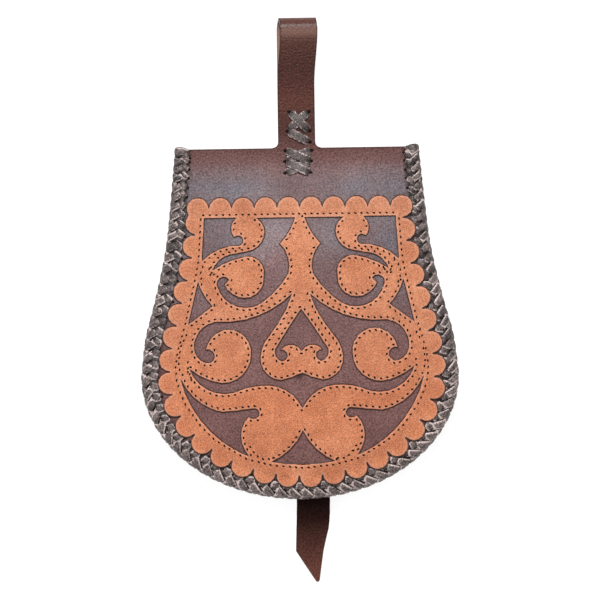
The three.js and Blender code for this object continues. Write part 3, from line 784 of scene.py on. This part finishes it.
def suedeBase(x, y):
    over = suede["overBraid"] * smoothStep(suede["overFrom"] - fromSilhouette(x, y), 0, suede["overRun"])
    return flapMiddle(x, y) + body["leather"] / 2 + suede["air"] + over


def flatOrnament():
    # upper faces of the part's appliqué, laid flat
    bm = bmesh.new()
    bm.from_mesh(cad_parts["suede_applique"].data)
    bmesh.ops.remove_doubles(bm, verts=bm.verts, dist=seam / 2)
    bm.normal_update()
    bmesh.ops.delete(bm, geom=[f for f in bm.faces if f.normal.z < suede["upFacing"]], context="FACES")
    for v in bm.verts:
        v.co.z = 0
    bmesh.ops.remove_doubles(bm, verts=bm.verts, dist=seam)
    bmesh.ops.dissolve_limit(bm, angle_limit=suede["straight"], verts=bm.verts, edges=bm.edges)
    return bm


def boundaryLoops(bm):
    ahead = {}
    for edge in bm.edges:
        if edge.is_boundary:
            loop = edge.link_loops[0]
            ahead[loop.vert] = loop.link_loop_next.vert  # the suede is on the left
    loops = []
    while ahead:
        v = next(iter(ahead))
        ring = []
        while v in ahead:
            ring.append(Vector((v.co.x, v.co.y)) / mm)
            v = ahead.pop(v)
        loops.append(ring)
    return loops


def evenly(points, step, closed):
    ring = points + points[:1] if closed else points
    out, carry = [], 0.0
    for a, b in zip(ring, ring[1:]):
        run = (b - a).length
        while carry <= run and run > 0:
            out.append(a.lerp(b, carry / run))
            carry += step
        carry -= run
    return out


def nearest(points):
    tree = kdtree.KDTree(len(points))
    for i, p in enumerate(points):
        tree.insert((p.x, p.y, 0), i)
    tree.balance()
    return tree


def rimLine():
    middle = stitching["middleX"]
    half = [Vector((x + middle, y)) for x, y in stitching["rim"]]
    other = [Vector((middle - x, y)) for x, y in reversed(stitching["rim"])]
    bottom = Vector((middle, stitching["rimBottom"]))
    return evenly(half + [bottom] + other + half[:1], suede["trace"], False)


def windowLines(fine, rim):
    # lines beside the cuts of the windows, broken where they come close to another cut or to the rim's row
    cuts = nearest([p for ring in fine for p in ring])
    rimRow = nearest(rim)
    outer = max(fine, key=lambda r: max(p.x for p in r) - min(p.x for p in r))
    lines = []
    for ring in fine:
        if ring is outer:
            continue
        line = []
        for i, p in enumerate(ring):
            along = ring[(i + stitching["lookAhead"]) % len(ring)] - ring[i - stitching["lookAhead"]]
            if along.length < stitching["shortest"]:
                continue
            q = p + Vector((-along.y, along.x)).normalized() * stitching["inset"]
            cutFar = cuts.find((q.x, q.y, 0))[2] > stitching["inset"] * stitching["clear"]
            if cutFar and rimRow.find((q.x, q.y, 0))[2] > stitching["rimClear"]:
                line.append(q)
            elif line:
                lines.append(line)
                line = []
        if line:
            lines.append(line)
    return lines


def placeStitches(loops):
    # places of the stitches and the way each row runs there
    rim = rimLine()
    stitches = []
    for line in [rim] + windowLines([evenly(ring, suede["trace"], True) for ring in loops], rim):
        travel = 0.0
        for a, b in zip(line, line[1:]):
            step = (b - a).length
            if step > stitching["rowBreak"]:
                travel = stitching["pitch"]
            travel += step
            if travel < stitching["pitch"]:
                continue
            if all((b - p).length > stitching["apart"] for p, way in stitches):
                stitches.append((b, b - a))
                travel = 0.0
    for join in stitching["joins"]:
        for hand in (1, -1):
            line = [Vector((stitching["middleX"] + hand * x, y)) for x, y in join]
            points = evenly(line, stitching["pitch"], False)
            run = points[-1] - points[0]
            apart = stitching["joinApart"]
            stitches += [(q, run) for q in points if all((q - p).length > apart for p, way in stitches)]
    return stitches


def outwardWays(bm):
    # the way out of the suede at each point of its outline
    ways = {}
    for edge in bm.edges:
        if edge.is_boundary:
            loop = edge.link_loops[0]
            run = loop.link_loop_next.vert.co - loop.vert.co
            for v in edge.verts:
                key = (round(v.co.x / mm, 3), round(v.co.y / mm, 3))
                ways[key] = ways.get(key, Vector()) + Vector((run.y, -run.x, 0)).normalized()
    return ways


def cutCells(bm):
    # a grid of cuts, so that the flat suede can follow the flap
    low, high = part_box("suede_applique")
    for axis in (0, 1):
        at = math.floor(low[axis] / mm / suede["cell"]) * suede["cell"]
        normal = Vector((1, 0, 0)) if axis == 0 else Vector((0, 1, 0))
        while at < high[axis] / mm:
            geom = bm.verts[:] + bm.edges[:] + bm.faces[:]
            bmesh.ops.bisect_plane(bm, geom=geom, dist=seam / 10, plane_co=normal * at * mm, plane_no=normal)
            at += suede["cell"]


def buildSuede():
    bm = flatOrnament()
    loops = boundaryLoops(bm)
    edgeLayer = bm.verts.layers.float.new("edge")
    inner = bm.faces[:]
    bmesh.ops.inset_region(bm, faces=inner, use_boundary=True, use_even_offset=False,
                           thickness=suede["softEdge"] * mm)
    inside = set(inner)
    border = [e for e in bm.edges if sum(f in inside for f in e.link_faces) == 1]
    bmesh.ops.delete(bm, geom=inner, context="FACES_ONLY")
    bmesh.ops.delete(bm, geom=[e for e in bm.edges if not e.link_faces], context="EDGES")
    bmesh.ops.triangle_fill(bm, use_beauty=True, use_dissolve=False, edges=border)
    cutCells(bm)
    outline = nearest([p for ring in loops for p in evenly(ring, suede["trace"], True)])
    ways = outwardWays(bm)
    geom = bmesh.ops.extrude_face_region(bm, geom=bm.faces[:], use_keep_orig=True)["geom"]
    top = {g for g in geom if isinstance(g, bmesh.types.BMVert)}
    for v in bm.verts:
        x, y = v.co.x / mm, v.co.y / mm
        way = ways.get((round(x, 3), round(y, 3)))
        z = suedeBase(x, y)
        if v in top:
            size = suede["rippleSize"]
            wave = suede["ripple"] * noise.noise(Vector((x / size, y / size, 5)))
            z += suede["thickness"] - suede["edgeDrop"] * (way is not None) + wave
        # dark cut wall: dark cut edge and painted shadow round the suede
        if way is not None:
            v[edgeLayer] = suede["darkCut"]
            v.co += way.normalized() * suede["slant"][v in top] * mm
        else:
            v[edgeLayer] = 1 - smoothStep(outline.find((x, y, 0))[2], *suede["paleBand"])
        v.co.z = z * mm
    bmesh.ops.recalc_face_normals(bm, faces=bm.faces)
    obj = makePiece("suedeApplique", bm, orangeSuede, ["suede_applique"])
    obj.data.set_sharp_from_angle(angle=math.radians(suede["sharp"]))
    return placeStitches(loops)


stitches = buildSuede()
print("stitches", len(stitches))


def buildStitches():
    bm = bmesh.new()
    for spot, way in stitches:
        verts = bmesh.ops.create_uvsphere(bm, u_segments=8, v_segments=4, radius=1)["verts"]
        angle = math.atan2(way.y, way.x) + stitching["turned"] + rng.uniform(-1, 1) * stitching["sway"]
        c, s = math.cos(angle), math.sin(angle)
        z = suedeBase(spot.x, spot.y) + suede["thickness"] + stitching["lift"]
        for v in verts:
            x, y = v.co.x * stitching["long"], v.co.y * stitching["wide"]
            height = z + v.co.z * stitching["high"]
            v.co = Vector((spot.x + x * c - y * s, spot.y + x * s + y * c, height)) * mm
    makePiece("appliqueStitches", bm, darkThreadAndHoleShade)


buildStitches()


# crossed laces of the loop
lacing = {
    "rows": [(103.6, -3.7, 6.6), (93.0, -4.7, 6.9), (82.3, -6.0, 7.8), (76.4, -6.3, 7.5), (69.9, -6.3, 7.3)],
    "slant": (7.0, 86.8),  # hole of the single slanted lace; rows hold y, left x and right x of the others
    "half": 2.4, "thickness": 0.9, "narrowed": 0.3, "uneven": 0.09, "rubbedLine": 1.74,
    "rise": 0.55, "dive": 1.7, "round": 0.1,
    "firstCrown": 0.25, "crossCrown": 1.25, "slantCrown": 0.5, "backCrown": 0.1,
    # laces are painted darker towards their ends, where they dive into the holes: painted shade
    "tone": (0.26, 0.43), "endDark": 0.8, "fray": 0.66, "frayUneven": 0.5,
    "hole": 1.1, "holeOut": 0.3, "holeLow": 0.85, "holeRise": 0.06,
}


def flapFace(x, y):
    middle = body["flapEdgeZ"] + body["leather"] / 2 if y > body["shoulderTop"] else flapMiddle(x, y)
    return middle + body["leather"] / 2


def strapBack(x, y):
    return flap["tuckedZ"]


def panelBack(x, y):
    return body["panelTopZ"]


def buildLacing():
    bm = bmesh.new()
    edgeLayer = bm.verts.layers.float.new("edge")
    toneAndShadeLayer = bm.verts.layers.float.new("tone")
    left = [Vector((a, y)) for y, a, b in lacing["rows"]]
    right = [Vector((b, y)) for y, a, b in lacing["rows"]]
    slant = Vector(lacing["slant"])

    def run(start, end, face, side, crown):
        own = rng.uniform(*lacing["tone"])
        along = (end - start).normalized()
        out = Vector((-along.y, along.x))

        def place(u, f):
            reach = abs(2 * f - 1)
            uneven = 1 + lacing["uneven"] * noise.noise(Vector((f * 6, u * 3, own * 20)))
            width = lacing["half"] * (1 - lacing["narrowed"] * reach ** 6) * uneven
            spot = start.lerp(end, f) + out * width * (u * lacing["rubbedLine"] if abs(u) == 0.5 else u)
            arch = lacing["rise"] - lacing["dive"] * reach ** 9 + crown * (1 - reach ** 2)
            return spot.x, spot.y, face(spot.x, spot.y) + side * (arch - lacing["round"] * u * u)

        def fray(u, f):
            if abs(u) < 0.4:
                return 0.0
            return lacing["fray"] + lacing["frayUneven"] * noise.noise(Vector((f * 9, u, own * 50)))

        # painted shade towards the ends of each lace
        def shade(u, f):
            return own * (1 - lacing["endDark"] * abs(2 * f - 1) ** 4)

        layGrid(bm, 4, 12, place, edgeLayer, fray, toneAndShadeLayer, shade)

    for i, j in ((0, 1), (2, 3), (3, 4)):
        run(right[i], left[j], flapFace, 1, lacing["firstCrown"])
        run(left[i], right[j], flapFace, 1, lacing["crossCrown"])
    run(left[1], slant, flapFace, 1, lacing["slantCrown"])
    for hand in (left, right):
        for i, j, face in ((0, 1, strapBack), (2, 3, panelBack), (3, 4, panelBack)):
            run(hand[i], hand[j], face, -1, lacing["backCrown"])
    run(slant, right[2], panelBack, -1, lacing["backCrown"])
    obj = makePiece("loopLacing", bm, greyLace, ["loop_lacing"])
    thicken(obj, lacing["thickness"])
    smooth = obj.modifiers.new("round", "SUBSURF")
    smooth.levels = smooth.render_levels = 1
    return [(p, -1) for p in left] + [(p, 1) for p in right] + [(slant, 1)]


def buildLacingHoles(places):
    bm = bmesh.new()
    radius = lacing["hole"]
    # dark coins at the lacing holes: painted shade inside the holes
    for spot, hand in places:
        coin = bmesh.ops.create_cone(bm, cap_ends=True, segments=12, radius1=radius, radius2=radius, depth=2)
        for v in coin["verts"]:
            x, y = v.co.x + spot.x + lacing["holeOut"] * hand, v.co.y * lacing["holeLow"] + spot.y
            v.co = Vector((x, y, flapFace(x, y) + lacing["holeRise"] * v.co.z)) * mm
    makePiece("lacingHoles", bm, darkThreadAndHoleShade)


buildLacingHoles(buildLacing())


# closing strap: rows of y, height of its underside, left x and right x
closing = {
    "rows": [(-61, 20.6, -3.3, 15.4), (-67, 20.0, -3.3, 15.4), (-72, 18.6, -3.3, 15.4),
             (-79, 15.4, -3.3, 15.4), (-85, 12.0, -3.2, 15.4), (-90, 9.2, -3.1, 15.4),
             (-94, 8.3, -3.0, 15.4), (-106.5, 8.3, -2.8, 15.4), (-111, 7.2, -2.8, 15.4),
             (-117, 3.6, -3.0, 15.3), (-121.5, 1.3, -3.1, 15.0), (-126, 0.2, -3.3, 14.5),
             (-132, 0, -3.5, 13.0), (-138.5, 0, -3.7, 11.5), (-148, 0, 2.4, 10.1),
             (-154.6, 0, 6.7, 9.2), (-155.65, 0, 7.5, 8.6)],
    "thickness": 1.6, "rounding": 0.4, "columns": 8, "steps": 4, "smoothing": 3,
    "edgeColumn": 0.93, "edgeDark": 0.7,
}


def closingAt(f):
    rows = closing["rows"]
    k = min(f * (len(rows) - 1), len(rows) - 1.0001)
    return [lerp(p, q, k - int(k)) for p, q in zip(rows[int(k)], rows[int(k) + 1])]


def buildClosing():
    bm = bmesh.new()
    edgeLayer = bm.verts.layers.float.new("edge")

    def place(u, f):
        y, z, left, right = closingAt(f)
        across = math.copysign(closing["edgeColumn"], u) if 0.6 < abs(u) < 0.9 else u
        return lerp(left, right, (across + 1) / 2), y, z + closing["thickness"] / 2

    def burnish(u, f):
        return closing["edgeDark"] if abs(u) == 1 else 0.0

    rows = (len(closing["rows"]) - 1) * closing["steps"]
    layGrid(bm, closing["columns"], rows, place, edgeLayer, burnish)
    for turn in range(closing["smoothing"]):
        inner = [v for v in bm.verts if not v.is_boundary]
        bmesh.ops.smooth_vert(bm, verts=inner, factor=0.5, use_axis_z=True)
    bmesh.ops.recalc_face_normals(bm, faces=bm.faces)
    obj = makePiece("closingStrap", bm, tailLeather, ["closing_strap"])
    thicken(obj, closing["thickness"], closing["rounding"])


buildClosing()


# back and pocket, two sheets of the same outline
sheet = {"columns": 44, "upper": 30, "lower": 22, "topDark": 0.6, "rounding": 0.4}


def panelMiddle(x, y):
    bend = smoothStep(y, *body["panelBend"])
    return lerp(body["panelZ"], body["panelTopZ"], bend) + body["leather"] / 2


def pocketTop(x, y):
    rise = body["pocketRise"] * (1 - body["mouthDip"] * smoothStep(y, 0, body["mouthY"]))
    return body["flangeTop"] + rise * max(0, 1 - spread(x, y, body["domeFoot"]) ** body["domePower"])


def pocketMiddle(x, y):
    return pocketTop(x, y) - body["pocketLeather"] / 2


def buildSheet(name, node, top, middle, thickness):
    bm = bmesh.new()
    edgeLayer = bm.verts.layers.float.new("edge")
    rows = sheet["upper"] + sheet["lower"]

    def place(u, f):
        half, y = outlineRow(f, sheet["upper"], sheet["lower"], body["bodyEdge"], top)
        return u * half, y, middle(u * half, y)

    def burnish(u, f):
        return 0.0 if round(f * rows) else sheet["topDark"]

    layGrid(bm, sheet["columns"], rows, place, edgeLayer, burnish)
    bmesh.ops.remove_doubles(bm, verts=bm.verts, dist=seam)
    bmesh.ops.recalc_face_normals(bm, faces=bm.faces)
    thicken(makePiece(name, bm, brownLeather, [node]), thickness, sheet["rounding"])


buildSheet("backPanel", "back_panel", body["topY"], panelMiddle, body["leather"])
buildSheet("pocketFront", "pocket", body["mouthY"], pocketMiddle, body["pocketLeather"])


# bar on the pocket that the closing strap passes under
keeper = {
    "x": 6.1, "half": 16.5, "y": (-80, -86), "thickness": 1.4, "air": 0.5, "overStrap": (10.2, 13.2),
    "columns": 44, "rows": 6, "edgeDark": 0.5, "rounding": 0.35,
}


def buildKeeper():
    bm = bmesh.new()
    edgeLayer = bm.verts.layers.float.new("edge")
    strapUnder = [row[:2] for row in reversed(closing["rows"])]

    def place(u, f):
        x, y = keeper["x"] + keeper["half"] * u, lerp(*keeper["y"], f)
        over = 1 - smoothStep(abs(keeper["half"] * u), *keeper["overStrap"])
        strapTop = alongRows(strapUnder, y) + closing["thickness"]
        return x, y, lerp(pocketTop(x, y), strapTop, over) + keeper["air"] + keeper["thickness"] / 2

    def burnish(u, f):
        return keeper["edgeDark"] if f in (0, 1) else 0.0

    layGrid(bm, keeper["columns"], keeper["rows"], place, edgeLayer, burnish)
    bmesh.ops.recalc_face_normals(bm, faces=bm.faces)
    obj = makePiece("strapKeeper", bm, brownLeather, ["strap_keeper"])
    thicken(obj, keeper["thickness"], keeper["rounding"])


buildKeeper()


# floor, light and camera, in metres
studio = {
    "floor": grey(0.3), "glow": 0.88, "floorHalf": 4, "floorZ": -0.0004, "floorRough": 0.9, "world": 0.36,
    "lights": [("keyLight", 28.5, (-0.06, 1.0, 1.54), 0.5), ("skyLight", 2, (-0.05, 0.42, 1.75), 0.8),
               ("fillLight", 3, (-0.9, -0.7, 1.5), 1.2)],  # name, power, place and size
    "sensor": 36, "lens": 327.0, "cameraAt": (0.00055, 0, 3.01), "roll": -0.85, "clip": 20,
}


def buildFloor():
    bm = bmesh.new()
    bmesh.ops.create_grid(bm, x_segments=1, y_segments=1, size=studio["floorHalf"])
    for v in bm.verts:
        v.co.z = studio["floorZ"]
    mesh = bpy.data.meshes.new("floor")
    bm.to_mesh(mesh)
    bm.free()
    floor = bpy.data.objects.new("floor", mesh)
    bpy.context.scene.collection.objects.link(floor)
    material, tree, shader = startMaterial("paleFloor")
    shader.inputs["Base Color"].default_value = (*studio["floor"], 1)
    shader.inputs["Emission Color"].default_value = (1, 1, 1, 1)
    shader.inputs["Emission Strength"].default_value = studio["glow"]
    shader.inputs["Roughness"].default_value = studio["floorRough"]
    mesh.materials.append(material)


def buildLights():
    for name, power, spot, size in studio["lights"]:
        light = bpy.data.lights.new(name, "AREA")
        light.energy = power
        light.shape = "DISK"
        light.size = size
        lamp = bpy.data.objects.new(name, light)
        lamp.location = spot
        lamp.rotation_euler = (-Vector(spot)).to_track_quat("-Z", "Y").to_euler()
        bpy.context.scene.collection.objects.link(lamp)
    world = bpy.data.worlds.new("studio")
    world.use_nodes = True
    background = world.node_tree.nodes["Background"]
    background.inputs["Color"].default_value = (1, 1, 1, 1)
    background.inputs["Strength"].default_value = studio["world"]
    bpy.context.scene.world = world
    bpy.context.scene.view_settings.view_transform = "Standard"


def buildCamera():
    camera = bpy.data.cameras.new("camera")
    camera.sensor_width = studio["sensor"]
    camera.lens = studio["lens"]
    camera.clip_end = studio["clip"]
    eye = bpy.data.objects.new("camera", camera)
    eye.location = studio["cameraAt"]
    eye.rotation_euler = (0, 0, math.radians(studio["roll"]))
    bpy.context.scene.collection.objects.link(eye)
    bpy.context.scene.camera = eye


buildFloor()
buildLights()
buildCamera()
print("studio ready")
